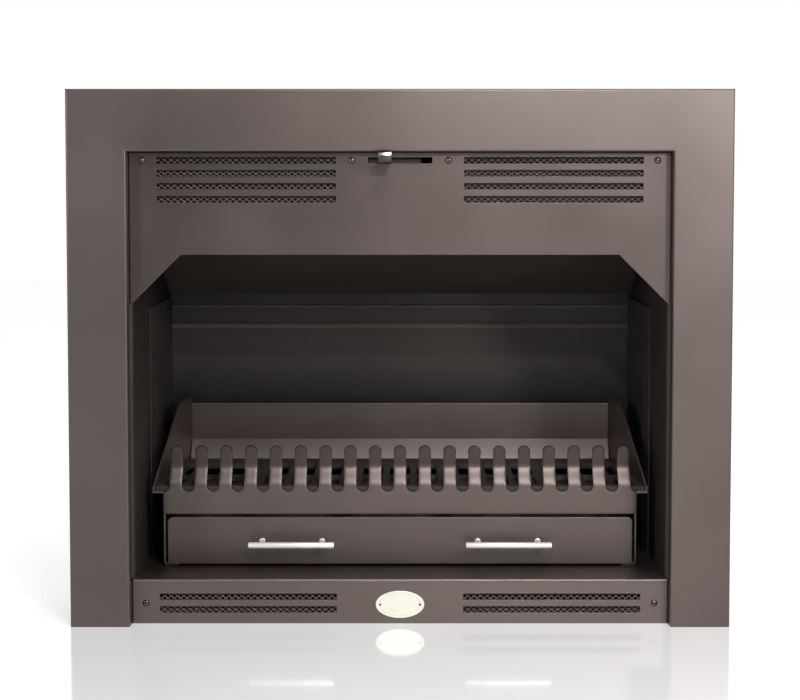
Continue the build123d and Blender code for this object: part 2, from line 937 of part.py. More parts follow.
save("damper_guide_lower", damper_guide(cam_bottom, 1))
save("damper_guide_upper", damper_guide(cam_top, -1))
save("cam_plate", cam_plate())
save("damper_lever", damper_lever())
save("damper_shaft", damper_shaft())
pair("damper_bearing", damper_bearing())
save("damper_flap", damper_flap())
save("damper_finger", damper_finger())

save("basket_front", basket_front())
pair("basket_side", basket_side())
pair("basket_guard", basket_guard())
save("basket_back", basket_back())
save("grate_rail_front", grate_rail(basket_front_back, 1))
save("grate_rail_back", grate_rail(basket_back_front, -1))
for section in range(grate_count):
    save(f"grate_section_{section + 1}", grate_section(section))

save("drawer_front", drawer_front())
save("ash_pan", ash_pan())
pair("handle_bar", handle_bar())
save("handle_posts", handle_posts())
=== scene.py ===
import math

import bmesh
import bpy
from mathutils import Matrix, Vector


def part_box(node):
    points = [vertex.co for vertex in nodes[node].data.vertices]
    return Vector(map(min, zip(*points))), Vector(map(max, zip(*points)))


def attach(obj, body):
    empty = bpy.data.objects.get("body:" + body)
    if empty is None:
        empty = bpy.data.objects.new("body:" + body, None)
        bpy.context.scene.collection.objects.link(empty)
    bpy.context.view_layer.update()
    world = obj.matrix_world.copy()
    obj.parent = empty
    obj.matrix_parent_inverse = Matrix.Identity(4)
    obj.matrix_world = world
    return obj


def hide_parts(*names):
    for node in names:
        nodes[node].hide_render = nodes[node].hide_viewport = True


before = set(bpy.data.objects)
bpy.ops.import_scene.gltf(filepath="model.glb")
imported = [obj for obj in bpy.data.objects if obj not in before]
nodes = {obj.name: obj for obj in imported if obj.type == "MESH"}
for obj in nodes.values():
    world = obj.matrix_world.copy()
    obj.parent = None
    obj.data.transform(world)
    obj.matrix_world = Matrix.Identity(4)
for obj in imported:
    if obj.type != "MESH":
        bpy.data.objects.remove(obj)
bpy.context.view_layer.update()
scene = bpy.context.scene
print("fireplace:", len(nodes), "pieces loaded")


# Short hands for building node trees, used by the shader groups, the finishes and the piece trees

def feed(tree, socket, value):
    if isinstance(value, bpy.types.NodeSocket):
        tree.links.new(value, socket)
    else:
        socket.default_value = value


def addNode(tree, kind, feeds=None, **settings):
    node = tree.nodes.new(kind)
    place = len(tree.nodes)
    node.location = (place % 10 * 220, -(place // 10) * 320)  # rows of ten, so the tree can be read
    for name, value in settings.items():
        setattr(node, name, value)
    for name, value in (feeds or {}).items():
        feed(tree, node.inputs[name], value)
    return node


def nodeOut(tree, kind, feeds=None, **settings):
    return addNode(tree, kind, feeds, **settings).outputs[0]


def calc(tree, operation, *values):
    return nodeOut(tree, "ShaderNodeMath", dict(enumerate(values)), operation=operation)


def minus(tree, value, less):
    return calc(tree, "SUBTRACT", value, less)


def times(tree, value, factor):
    return calc(tree, "MULTIPLY", value, factor)


def addUp(tree, *values):
    total = values[0]
    for value in values[1:]:
        total = calc(tree, "ADD", total, value)
    return total


def scaleTo(tree, value, fromLow, fromHigh, toLow=0.0, toHigh=1.0, **settings):
    feeds = {"Value": value, "From Min": fromLow, "From Max": fromHigh, "To Min": toLow, "To Max": toHigh}
    return nodeOut(tree, "ShaderNodeMapRange", feeds, **settings)


def blendColors(tree, factor, *colors):
    first, second = ((*color, 1.0) if isinstance(color, tuple) else color for color in colors)
    return addNode(tree, "ShaderNodeMix", {0: factor, 6: first, 7: second}, data_type="RGBA").outputs[2]


def combine(tree, x=0.0, y=0.0, z=0.0):
    return nodeOut(tree, "ShaderNodeCombineXYZ", {"X": x, "Y": y, "Z": z})


def splitPlace(tree, place):
    return addNode(tree, "ShaderNodeSeparateXYZ", {"Vector": place}).outputs


def vectorCalc(tree, operation, *values):
    return addNode(tree, "ShaderNodeVectorMath", dict(enumerate(values)), operation=operation).outputs


def noise(tree, place, scale, detail):
    feeds = {"Vector": place, "Scale": scale, "Detail": detail}
    return addNode(tree, "ShaderNodeTexNoise", feeds).outputs


def newGroup(name, inputs, outputs, kind="ShaderNodeTree"):
    # An input is given by its type, or by its default where it is a whole or a real number
    tree = bpy.data.node_groups.new(name, kind)
    for label, given in inputs.items():
        socketType = given if isinstance(given, str) else {int: "Int", float: "Float"}[type(given)]
        socket = tree.interface.new_socket(label, in_out="INPUT", socket_type="NodeSocket" + socketType)
        if given is not socketType:
            socket.default_value = given
    for label, socketType in outputs.items():
        tree.interface.new_socket(label, in_out="OUTPUT", socket_type="NodeSocket" + socketType)
    return tree, tree.nodes.new("NodeGroupInput").outputs, tree.nodes.new("NodeGroupOutput").inputs


def newPieceTree(name, inputs):
    return newGroup(name, inputs, {"Geometry": "Geometry"}, "GeometryNodeTree")


def useGroup(tree, group, feeds):
    return addNode(tree, "ShaderNodeGroup", feeds, node_tree=group).outputs


# Shader groups that several finishes share

noiseRange = (0.3, 0.7)  # nearly all of a noise lies between these
wearDetails = {"turn": (0.01, 0.16), "detail": 3.0, "level": 0.75, "coverShare": 0.5, "soft": 0.15}
grainDetails = {"Clouds": ("Cloud Size", 4.0), "Grain": ("Grain Size", 2.0)}
spangleDetails = {"wanderScale": 60.0, "wander": 0.008, "detail": 2.0, "border": (0.2, 0.7)}


def makeWornEdges():
    # Bright rubbed patches along edges, and a normal that rounds every sharp fold
    group, given, out = newGroup(
        "wornEdges", {"Place": "Vector", "Radius": 0.001, "Patch Size": 0.03, "Cover": 0.5},
        {"Mask": "Float", "Round Normal": "Vector"},
    )
    rounded = nodeOut(group, "ShaderNodeBevel", {"Radius": given["Radius"]}, samples=4)
    flat = addNode(group, "ShaderNodeNewGeometry").outputs["Normal"]
    turned = minus(group, 1.0, vectorCalc(group, "DOT_PRODUCT", rounded, flat)["Value"])
    edge = scaleTo(group, turned, *wearDetails["turn"])
    patches = noise(group, given["Place"], calc(group, "DIVIDE", 1.0, given["Patch Size"]), wearDetails["detail"])
    low = minus(group, wearDetails["level"], times(group, given["Cover"], wearDetails["coverShare"]))
    rubbed = scaleTo(group, patches[0], low, addUp(group, low, wearDetails["soft"]))
    feed(group, out["Mask"], times(group, edge, rubbed))
    feed(group, out["Round Normal"], rounded)
    return group


def makeCoatGrain():
    # Slow clouds and fine grain of a sprayed or cast surface
    group, given, out = newGroup(
        "coatGrain", {"Place": "Vector", "Cloud Size": 0.1, "Grain Size": 0.001},
        {"Clouds": "Float", "Grain": "Float"},
    )
    for label, (size, detail) in grainDetails.items():
        speckle = noise(group, given["Place"], calc(group, "DIVIDE", 1.0, given[size]), detail)
        feed(group, out[label], scaleTo(group, speckle[0], *noiseRange))
    return group


def makeZincSpangle():
    # Crystals of galvanised sheet, each with its own tone
    group, given, out = newGroup(
        "zincSpangle", {"Place": "Vector", "Crystal Size": 0.012},
        {"Tone": "Float", "Border": "Float"},
    )
    wander = noise(group, given["Place"], spangleDetails["wanderScale"], spangleDetails["detail"])[1]
    shift = vectorCalc(group, "SCALE", wander)[0]
    shift.node.inputs["Scale"].default_value = spangleDetails["wander"]
    bent = vectorCalc(group, "ADD", given["Place"], shift)[0]
    feeds = {"Vector": bent, "Scale": calc(group, "DIVIDE", 1.0, given["Crystal Size"])}
    cells = addNode(group, "ShaderNodeTexVoronoi", feeds).outputs
    feed(group, out["Tone"], nodeOut(group, "ShaderNodeSeparateColor", {"Color": cells["Color"]}))
    feed(group, out["Border"], scaleTo(group, cells["Distance"], *spangleDetails["border"]))
    return group


def makeBrushLines():
    # Fine lines left along X by polishing or drawing
    group, given, out = newGroup(
        "brushLines", {"Place": "Vector", "Line Width": 0.0003, "Stretch": 40.0},
        {"Lines": "Float"},
    )
    parts = splitPlace(group, given["Place"])
    drawn = combine(group, calc(group, "DIVIDE", parts["X"], given["Stretch"]), parts["Y"], parts["Z"])
    lines = noise(group, drawn, calc(group, "DIVIDE", 1.0, given["Line Width"]), 2.0)
    feed(group, out["Lines"], scaleTo(group, lines[0], *noiseRange))
    return group


wornEdges = makeWornEdges()
coatGrain = makeCoatGrain()
zincSpangle = makeZincSpangle()
brushLines = makeBrushLines()
print("fireplace: shader groups built")


# Finishes, one for each slot of the record. Lengths in metres, colours linear

sprayed = {
    "metal": 0.85, "clouds": 0.16, "grain": 0.0009, "height": 0.00002, "rubbed": (0.25, 0.21, 0.195), "wear": 0.25,
    "fold": 0.0012,
}
burnt = {
    "metal": 0.3, "smooth": 0.42, "rough": 0.6, "clouds": 0.09, "grain": 0.001, "height": 0.00004, "wear": 0.3,
    "fold": 0.0015,
}
cast = burnt | {
    "smooth": 0.45, "rough": 0.62, "clouds": 0.05, "grain": 0.002, "height": 0.00012, "rubbed": (0.12, 0.11, 0.10),
    "fold": 0.002,
}
coats = {
    "panel_paint": sprayed | {  # satin warm grey, sprayed, on all the sheet that faces the room
        "low": (0.148, 0.117, 0.108), "high": (0.172, 0.137, 0.127), "smooth": 0.40, "rough": 0.46,
    },
    "front_paint": sprayed | {  # the same paint on the upper vented panel, a little smoother
        "low": (0.131, 0.103, 0.095), "high": (0.152, 0.120, 0.112), "metal": 0.88, "smooth": 0.35, "rough": 0.41,
    },
    "lower_paint_lit": sprayed | {  # and on the lower panel, a lighter copy as painted light from the floor it faces
        "low": (0.168, 0.133, 0.123), "high": (0.194, 0.154, 0.144), "metal": 0.88, "smooth": 0.38, "rough": 0.44,
    },
    "basket_paint": sprayed | {  # the same paint on the basket, a little duller
        "low": (0.135, 0.107, 0.098), "high": (0.158, 0.125, 0.116), "smooth": 0.41, "rough": 0.48,
        "clouds": 0.09, "height": 0.00003, "rubbed": (0.24, 0.20, 0.185), "wear": 0.45, "fold": 0.0022,
    },
    "hearth_paint": sprayed | {  # the firebox floor, stained by ash
        "low": (0.150, 0.119, 0.110), "high": (0.175, 0.139, 0.129), "smooth": 0.36, "rough": 0.42,
        "clouds": 0.12, "grain": 0.001, "height": 0.00003, "rubbed": (0.22, 0.185, 0.17), "wear": 0.0, "fold": 0.001,
    },
    "firebox_paint": burnt | {  # the same paint, darkened by fires
        "low": (0.022, 0.0175, 0.0155), "high": (0.036, 0.029, 0.026), "rubbed": (0.10, 0.085, 0.075),
    },
    "cast_plate": cast | {  # thick lining plates
        "low": (0.030, 0.0245, 0.022), "high": (0.044, 0.037, 0.033), "wear": 0.35,
    },
    "baffle_paint_lit": burnt | {  # the smoke baffle, a lighter copy of the firebox paint as painted light
        "low": (0.070, 0.056, 0.050), "high": (0.095, 0.077, 0.070), "rubbed": (0.12, 0.10, 0.09),
    },
    "fireback_paint": cast | {  # the fireback and its rail, with painted highlights on their top edges and painted shade low down
        "low": (0.033, 0.027, 0.024), "high": (0.047, 0.039, 0.035), "wear": 0.2,
    },
    "screw_head": {
        "low": (0.115, 0.10, 0.093), "high": (0.16, 0.14, 0.13), "metal": 0.9, "smooth": 0.24, "rough": 0.34,
        "clouds": 0.01, "grain": 0.0006, "height": 0.00001, "rubbed": (0.55, 0.52, 0.5), "wear": 0.45, "fold": 0.0006,
    },
    "grate_iron": {
        "low": (0.026, 0.0215, 0.0195), "high": (0.042, 0.036, 0.032), "metal": 0.3, "smooth": 0.5, "rough": 0.7,
        "clouds": 0.03, "grain": 0.0022, "height": 0.0002, "rubbed": (0.13, 0.115, 0.105), "wear": 0.4,
        "fold": 0.0012,
    },
    "mesh_metal": {
        "low": (0.18, 0.15, 0.135), "high": (0.24, 0.20, 0.184), "metal": 0.5, "smooth": 0.4, "rough": 0.5,
        "clouds": 0.02, "grain": 0.001, "height": 0.00003, "rubbed": (0.30, 0.26, 0.24), "wear": 0.2, "fold": 0.0003,
    },
}
coatShares = {"clouds": 0.65, "grain": 0.35, "rubbed": 0.08}  # parts of the tone, and the polish of rubbed edges
galvanised = {
    "metal": 0.85, "clouds": 0.2, "grain": 0.0015, "shaded": 0.6, "height": 0.00003, "wear": 0.3, "fold": 0.001,
    "crystal": 0.01, "smooth": 0.42, "rough": 0.6,
}
zincs = {
    "zinc_sheet": galvanised | {  # the outer casing
        "low": (0.30, 0.31, 0.32), "high": (0.46, 0.47, 0.48), "crystal": 0.014, "smooth": 0.32, "rough": 0.5,
    },
    "shaded_pan_zinc": galvanised | {"low": (0.10, 0.097, 0.094), "high": (0.17, 0.165, 0.16)},  # the ash pan, darkened as painted shade
    "shaded_zinc": galvanised | {"low": (0.045, 0.043, 0.042), "high": (0.085, 0.082, 0.08)},  # brackets inside, darkened as painted shade; the plate pins use it too
}
drawn = {"stretch": 60.0, "height": 0.000004, "wear": 0.6, "fold": 0.0006}
steels = {
    "bright_steel": drawn | {
        "low": (0.36, 0.35, 0.34), "high": (0.5, 0.49, 0.47), "metal": 1.0, "smooth": 0.26, "rough": 0.42,
        "line": 0.0005,
    },
    "handle_chrome": drawn | {
        "low": (0.93, 0.925, 0.91), "high": (0.97, 0.965, 0.95), "metal": 0.5, "smooth": 0.32, "rough": 0.42,
        "line": 0.0004,
    },
}
enamel = {  # places on the plate are shares of its half size
    "ground": (0.88, 0.87, 0.76), "mottle": (0.82, 0.80, 0.67), "rim": (0.87, 0.86, 0.78), "line": (0.5, 0.48, 0.40),
    "rimFrom": (0.86, 0.89), "lineAt": 0.84, "lineWidth": (0.008, 0.018), "lineDepth": 0.55, "smooth": 0.18,
    "rough": 0.28, "clouds": 0.012, "grain": 0.0012, "height": 0.00002, "wear": 0.2, "fold": 0.0005, "glaze": 0.5,
    "glazeRough": 0.08,
}
plateLow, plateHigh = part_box("name_plate")
plateMiddle = (plateLow + plateHigh) / 2
plateHalf = (plateHigh - plateLow) / 2
# ash is a real stain; the other marks are painted: shade in the joints, screws, fireback, fingers and vents, and
# highlights on the hearth nose and the fireback's top edges
marks = {  # colours under the stains, the painted shade and the painted highlights
    "jointShade": (0.022, 0.018, 0.016), "screwShade": (0.02, 0.017, 0.015), "ash": (0.045, 0.036, 0.032),
    "noseHighlight": (0.30, 0.26, 0.24), "darkening": (0.007, 0.0057, 0.005), "top": (0.21, 0.175, 0.16),
    "shade": (0.02, 0.016, 0.014), "fingerShade": (0.022, 0.018, 0.016),
}


def startFinish(name):
    material = bpy.data.materials.new(name)
    material.use_nodes = True
    tree = material.node_tree
    surface = tree.nodes["Principled BSDF"]
    place = addNode(tree, "ShaderNodeTexCoord").outputs["Object"]
    return material, tree, surface.inputs, place


def dress(tree, surface, look, color, roughness, height, worn):
    feeds = {"Height": height, "Distance": look["height"], "Strength": 1.0, "Normal": worn["Round Normal"]}
    feed(tree, surface["Base Color"], color)
    feed(tree, surface["Roughness"], roughness)
    feed(tree, surface["Normal"], nodeOut(tree, "ShaderNodeBump", feeds))


def wearOf(tree, place, look):
    return useGroup(tree, wornEdges, {"Place": place, "Radius": look["fold"], "Cover": look["wear"]})


def grainOf(tree, place, look):
    return useGroup(tree, coatGrain, {"Place": place, "Cloud Size": look["clouds"], "Grain Size": look["grain"]})


def linesOf(tree, place, look):
    feeds = {"Place": place, "Line Width": look["line"], "Stretch": look["stretch"]}
    return useGroup(tree, brushLines, feeds)["Lines"]


def blendLooks(tree, factor, look, first="low", second="high"):
    return blendColors(tree, factor, look[first], look[second])


def roughnessOf(tree, factor, look):
    return scaleTo(tree, factor, 0.0, 1.0, look["smooth"], look["rough"])


def coatFinish(name, coat, stainAndShade=None):
    # The given function, where a piece has one, gives masks with the mark under each, for real stains and for painted
    # shade and highlights
    material, tree, surface, place = startFinish(name)
    worn, grain = wearOf(tree, place, coat), grainOf(tree, place, coat)
    clouds = times(tree, grain["Clouds"], coatShares["clouds"])
    specks = times(tree, grain["Grain"], coatShares["grain"])
    body = blendLooks(tree, addUp(tree, clouds, specks), coat)
    body = blendColors(tree, worn["Mask"], body, coat["rubbed"])
    for mask, mark in (stainAndShade(tree, place, grain) if stainAndShade else ()):
        body = blendColors(tree, mask, body, marks[mark])
    dull = minus(tree, roughnessOf(tree, grain["Clouds"], coat), times(tree, worn["Mask"], coatShares["rubbed"]))
    dress(tree, surface, coat, body, dull, grain["Grain"], worn)
    surface["Metallic"].default_value = coat["metal"]
    return material


def zincFinish(name, zinc):
    material, tree, surface, place = startFinish(name)
    spangle = useGroup(tree, zincSpangle, {"Place": place, "Crystal Size": zinc["crystal"]})
    worn, grain = wearOf(tree, place, zinc), grainOf(tree, place, zinc)
    tone = times(tree, spangle["Tone"], scaleTo(tree, grain["Clouds"], 0.0, 1.0, zinc["shaded"]))
    dull = roughnessOf(tree, spangle["Tone"], zinc)
    dress(tree, surface, zinc, blendLooks(tree, tone, zinc), dull, spangle["Border"], worn)
    surface["Metallic"].default_value = zinc["metal"]
    return material


def steelFinish(name, steel):
    material, tree, surface, place = startFinish(name)
    lines, worn = linesOf(tree, place, steel), wearOf(tree, place, steel)
    dress(tree, surface, steel, blendLooks(tree, lines, steel), roughnessOf(tree, lines, steel), lines, worn)
    surface["Metallic"].default_value = steel["metal"]
    return material


def enamelFinish(name):
    # Cream ground with a paler rim and one thin line inside it, on the bare oval plate
    material, tree, surface, place = startFinish(name)
    parts = splitPlace(tree, place)
    across = calc(tree, "DIVIDE", minus(tree, parts["X"], plateMiddle.x), plateHalf.x)
    up = calc(tree, "DIVIDE", minus(tree, parts["Z"], plateMiddle.z), plateHalf.z)
    reach = vectorCalc(tree, "LENGTH", combine(tree, across, up))["Value"]  # 1 on the plate's edge
    rim = scaleTo(tree, reach, *enamel["rimFrom"])
    fromLine = calc(tree, "ABSOLUTE", minus(tree, reach, enamel["lineAt"]))
    line = scaleTo(tree, fromLine, *enamel["lineWidth"], enamel["lineDepth"], 0.0)
    worn, grain = wearOf(tree, place, enamel), grainOf(tree, place, enamel)
    color = blendLooks(tree, grain["Clouds"], enamel, "ground", "mottle")
    color = blendColors(tree, line, color, enamel["line"])
    color = blendColors(tree, rim, color, enamel["rim"])
    dress(tree, surface, enamel, color, roughnessOf(tree, grain["Clouds"], enamel), grain["Grain"], worn)
    surface["Coat Weight"].default_value = enamel["glaze"]
    surface["Coat Roughness"].default_value = enamel["glazeRough"]
    return material


headRadius = 0.0045
# widths of the painted shade: along the joints where the surround meets the panels, round each screw head, and in the
# sockets and round the feet of the heads
front = {
    "openingHalf": 0.418, "openingTop": 0.735, "jointShade": 0.0022, "innerScrew": 0.0745, "ring": 0.0009,
    "socketShade": (0.0011, 0.0016), "footShade": (0.001, 0.0004),
}
# the soot ramp behind the nose, and the band of painted highlight along the nose
hearth = {"ragged": 0.006, "darkening": (0.006, 0.07), "darkeningDepth": 0.8, "edge": (0.0012, 0.0026), "noseHighlightDepth": 0.6}
# painted shade low on the fireback, darker towards the bottom, and bands of painted highlight along the top edges of
# the fireback and its rail
fireback = {
    "shadeLevels": (0.30, 0.375), "darkeningDepth": 0.85, "highlightTops": {"fireback_plate": 0.0055, "fireback_rail": 0.0045},
    "soft": 0.0006, "highlightDepth": 0.9,
}
screwLow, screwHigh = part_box("panel_screws")
screwX = screwHigh.x - headRadius
screwTop = screwHigh.z - headRadius
screwBottom = screwLow.z + headRadius
halfScrews = [(screwX, screwTop), (front["innerScrew"], screwTop), (screwX, screwBottom)]  # on the right half


def screwReach(tree, parts):
    # How far a point on the front lies from the nearest panel screw
    across = calc(tree, "ABSOLUTE", parts["X"])
    nearest = 1.0
    for x, z in halfScrews:
        offset = combine(tree, minus(tree, across, x), minus(tree, parts["Z"], z))
        nearest = calc(tree, "MINIMUM", nearest, vectorCalc(tree, "LENGTH", offset)["Value"])
    return nearest


def frontJointShade(tree, place, grain):
    # The dark gap where the surround meets the panels, widened by painted shade, and a ring of painted shade under
    # each screw head
    parts = splitPlace(tree, place)
    side = front["openingHalf"] - front["jointShade"]
    top = front["openingTop"] - front["jointShade"]
    beside = calc(tree, "GREATER_THAN", calc(tree, "ABSOLUTE", parts["X"]), side)
    jointShade = calc(tree, "MAXIMUM", beside, calc(tree, "GREATER_THAN", parts["Z"], top))
    ring = calc(tree, "LESS_THAN", screwReach(tree, parts), headRadius + front["ring"])
    return [(calc(tree, "MAXIMUM", jointShade, ring), "jointShade")]


def screwShading(tree, place, grain):
    # Painted shade in the socket in the middle of each head and round its foot
    reach = screwReach(tree, splitPlace(tree, place))
    middle = scaleTo(tree, reach, *front["socketShade"], 1.0, 0.0)
    foot = scaleTo(tree, reach, *(headRadius - inside for inside in front["footShade"]))
    return [(calc(tree, "MAXIMUM", middle, foot), "screwShade")]


def hearthStainAndHighlight(tree, place, grain):
    # Soot that stops in a ragged line behind the nose, and a painted highlight along the nose's front edge
    depth = minus(tree, splitPlace(tree, place)["Y"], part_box("firebox_floor")[0].y)
    ragged = hearth["ragged"]
    uneven = addUp(tree, depth, scaleTo(tree, grain["Clouds"], 0.0, 1.0, -ragged, ragged))
    darkening = scaleTo(tree, uneven, *hearth["darkening"], 0.0, hearth["darkeningDepth"])
    return [(darkening, "ash"), (scaleTo(tree, depth, *hearth["edge"], hearth["noseHighlightDepth"], 0.0), "noseHighlight")]


def firebackShading(tree, place, grain):
    # Painted shade on the fireback, darker towards the bottom, and painted highlights along the top edges of the
    # fireback and its rail
    parts = splitPlace(tree, place)
    masks = [(scaleTo(tree, parts["Z"], *fireback["shadeLevels"], fireback["darkeningDepth"], 0.0), "darkening")]
    for node, deep in fireback["highlightTops"].items():
        fromTop = calc(tree, "ABSOLUTE", minus(tree, parts["Z"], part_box(node)[1].z - deep / 2))
        ends = deep / 2, deep / 2 + fireback["soft"]
        masks.append((scaleTo(tree, fromTop, *ends, fireback["highlightDepth"], 0.0), "top"))
    return masks


# real stains, painted shade and painted highlights, by finish
stainsAndShading = {
    "front_paint": frontJointShade, "lower_paint_lit": frontJointShade, "hearth_paint": hearthStainAndHighlight, "screw_head": screwShading,
    "fireback_paint": firebackShading,
}
finishes = {slot: coatFinish(slot + "_finish", coat, stainsAndShading.get(slot)) for slot, coat in coats.items()}
finishes |= {slot: zincFinish(slot + "_finish", zinc) for slot, zinc in zincs.items()}
finishes |= {slot: steelFinish(slot + "_finish", steel) for slot, steel in steels.items()}
finishes["plate_enamel"] = enamelFinish("plate_enamel_finish")

# pieces whose finish departs a little from their slot's own, by how their names start
# the lower panel and the smoke baffle get lighter copies of their paint as painted light; the ash pan and the inside
# brackets get darker zinc as painted shade
finishedApart = {
    "front_paint": ("upper_front",), "lower_paint_lit": ("lower_front",), "hearth_paint": ("firebox_floor",),
    "basket_paint": ("basket_", "drawer_front"), "firebox_paint": ("grate_rail",), "baffle_paint_lit": ("smoke_baffle",),
    "fireback_paint": ("fireback_",), "shaded_pan_zinc": ("ash_pan",),
    "shaded_zinc": ("floor_supports", "damper_guide", "surround_clips"), "grate_iron": ("cam_plate",),
}
for name, node in nodes.items():
    for holder in node.material_slots:
        slot = holder.material.name.split(".")[0]
        apart = [finish for finish, starts in finishedApart.items() if name.startswith(starts)]
        holder.material = finishes[(apart or [slot])[0]]
print("fireplace:", len(finishes), "finishes on the sheet work")


# Making pieces

def finishPiece(name, mesh, body, slot, replaced=(), sharpAngle=40.0, material=None):
    piece = bpy.data.objects.new(name, mesh)
    scene.collection.objects.link(piece)
    mesh.materials.clear()
    mesh.materials.append(material or finishes[slot])
    mesh.shade_smooth()
    mesh.set_sharp_from_angle(angle=math.radians(sharpAngle))
    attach(piece, body)
    if replaced:
        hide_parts(*replaced)
    return piece


def bakeModifiers(mesh, *modifiers):
    # Each modifier is (type, settings, inputs of its tree by identifier). The result is a new plain mesh
    carrier = bpy.data.objects.new("carrier", mesh)
    scene.collection.objects.link(carrier)
    for kind, settings, inputs in modifiers:
        modifier = carrier.modifiers.new(kind, kind)
        for key, value in settings.items():
            setattr(modifier, key, value)
        for identifier, value in inputs.items():
            modifier[identifier] = value
    carrier.update_tag()
    result = bpy.data.meshes.new_from_object(carrier.evaluated_get(bpy.context.evaluated_depsgraph_get()))
    for modifier in [*carrier.modifiers]:
        carrier.modifiers.remove(modifier)
    bpy.data.objects.remove(carrier)
    return result


def bakeTree(tree, values, startMesh=None):
    inputs = {
        item.identifier: values[item.name] for item in tree.interface.items_tree
        if item.item_type == "SOCKET" and item.in_out == "INPUT" and item.name in values
    }
    return bakeModifiers(startMesh or bpy.data.meshes.new("start"), ("NODES", {"node_group": tree}, inputs))


def easeEdges(width, sharper=50.0):
    return "BEVEL", {"width": width, "segments": 2, "limit_method": "ANGLE", "angle_limit": math.radians(sharper)}, {}


def meshFromShape(shape, name):
    bmesh.ops.remove_doubles(shape, verts=shape.verts, dist=1e-6)
    bmesh.ops.recalc_face_normals(shape, faces=shape.faces)
    mesh = bpy.data.meshes.new(name)
    shape.to_mesh(mesh)
    shape.free()
    return mesh


def bridgeRings(shape, rings):
    for ring, following in zip(rings, rings[1:]):
        for step in range(len(ring)):
            further = (step + 1) % len(ring)
            shape.faces.new((ring[step], ring[further], following[further], following[step]))


def addPrism(shape, sections):
    # Joins two closed outlines of the same count of points, and caps both
    ends = [[shape.verts.new(point) for point in section] for section in sections]
    bridgeRings(shape, ends)
    for end in ends:
        shape.faces.new(end)


def addTurned(shape, profile, start, along, steps):
    # A turned form: profile is (distance along, radius) from one closed end to the other
    direction = Vector(along).normalized()
    side = direction.orthogonal().normalized()
    other = direction.cross(side)
    angles = [2 * math.pi * step / steps for step in range(steps)]
    rings = []
    for distance, radius in profile:
        centre = Vector(start) + direction * distance
        rings.append([
            shape.verts.new(centre + radius * (math.cos(angle) * side + math.sin(angle) * other)) for angle in angles
        ])
    bridgeRings(shape, rings)
    shape.faces.new(reversed(rings[0]))
    shape.faces.new(rings[-1])


def repeatPiece(tree, given, out, points, instance, turn=(0, 0, 0), weld=None):
    # The end of every piece tree: one instance on each point, made real and given its material
    feeds = {"Points": points, "Instance": instance, "Rotation": turn}
    geometry = nodeOut(tree, "GeometryNodeInstanceOnPoints", feeds)
    geometry = nodeOut(tree, "GeometryNodeRealizeInstances", {"Geometry": geometry})
    if weld:
        geometry = nodeOut(tree, "GeometryNodeMergeByDistance", {"Geometry": geometry, "Distance": weld})
    feeds = {"Geometry": geometry, "Material": given["Material"]}
    feed(tree, out["Geometry"], nodeOut(tree, "GeometryNodeSetMaterial", feeds))
    return tree


def moveTo(tree, geometry, **feeds):
    return nodeOut(tree, "GeometryNodeSetPosition", {"Geometry": geometry} | feeds)


def pointRow(tree, count, start, step):
    feeds = {"Count": count, "Start Location": start, "Offset": step}
    return nodeOut(tree, "GeometryNodeMeshLine", feeds)


# Expanded metal behind the vents

meshSettings = {
    "Cell Length": 0.01005, "Cell Height": 0.0071, "Strand Width": 0.002, "Strand Thickness": 0.0007, "Lean": 0.6,
}


def makeExpandedMetal():
    inputs = {"Width": 0.3, "Height": 0.08, "Material": "Material"}
    tree, given, out = newPieceTree("expandedMetal", meshSettings | inputs)
    stepX = calc(tree, "DIVIDE", given["Cell Length"], 2.0)
    stepZ = calc(tree, "DIVIDE", given["Cell Height"], 2.0)
    oddIndex = calc(tree, "MODULO", nodeOut(tree, "GeometryNodeInputIndex"), 2.0)
    # one zigzag strand
    count = minus(tree, calc(tree, "FLOOR", calc(tree, "DIVIDE", given["Width"], stepX)), 1.0)
    start = combine(tree, times(tree, given["Width"], -0.5))
    rise = combine(tree, z=times(tree, oddIndex, stepZ))
    zigzag = moveTo(tree, pointRow(tree, count, start, combine(tree, stepX)), Offset=rise)
    curve = nodeOut(tree, "GeometryNodeMeshToCurve", {"Mesh": zigzag})
    leaned = nodeOut(tree, "GeometryNodeSetCurveTilt", {"Curve": curve, "Tilt": given["Lean"]})
    feeds = {"Width": given["Strand Width"], "Height": given["Strand Thickness"]}
    section = nodeOut(tree, "GeometryNodeCurvePrimitiveQuadrilateral", feeds)
    feeds = {"Curve": leaned, "Profile Curve": section, "Fill Caps": True}
    strand = nodeOut(tree, "GeometryNodeCurveToMesh", feeds)
    # a row of strands, every other one moved half a cell along
    clear = minus(tree, given["Height"], given["Strand Width"])
    rows = calc(tree, "FLOOR", calc(tree, "DIVIDE", clear, stepZ))
    foot = combine(tree, z=times(tree, times(tree, rows, stepZ), -0.5))
    column = pointRow(tree, rows, foot, combine(tree, z=stepZ))
    staggered = moveTo(tree, column, Offset=combine(tree, times(tree, oddIndex, stepX)))
    return repeatPiece(tree, given, out, staggered, strand)


expandedMetal = makeExpandedMetal()
vent = {"pitch": 0.02, "border": 0.004, "shade": 0.0024, "soft": 0.0012, "depth": 0.85}


def ventFinish(name, slotTop):
    # The panel shades the mesh along the top of each slot
    def shade(tree, place, grain):
        below = minus(tree, slotTop, splitPlace(tree, place)["Z"])
        below = calc(tree, "WRAP", below, vent["pitch"] / 2, -vent["pitch"] / 2)
        half = vent["shade"] / 2
        fromShade = calc(tree, "ABSOLUTE", minus(tree, below, half))
        return [(scaleTo(tree, fromShade, half, half + vent["soft"], vent["depth"], 0.0), "shade")]

    return coatFinish(name, coats["mesh_metal"], shade)


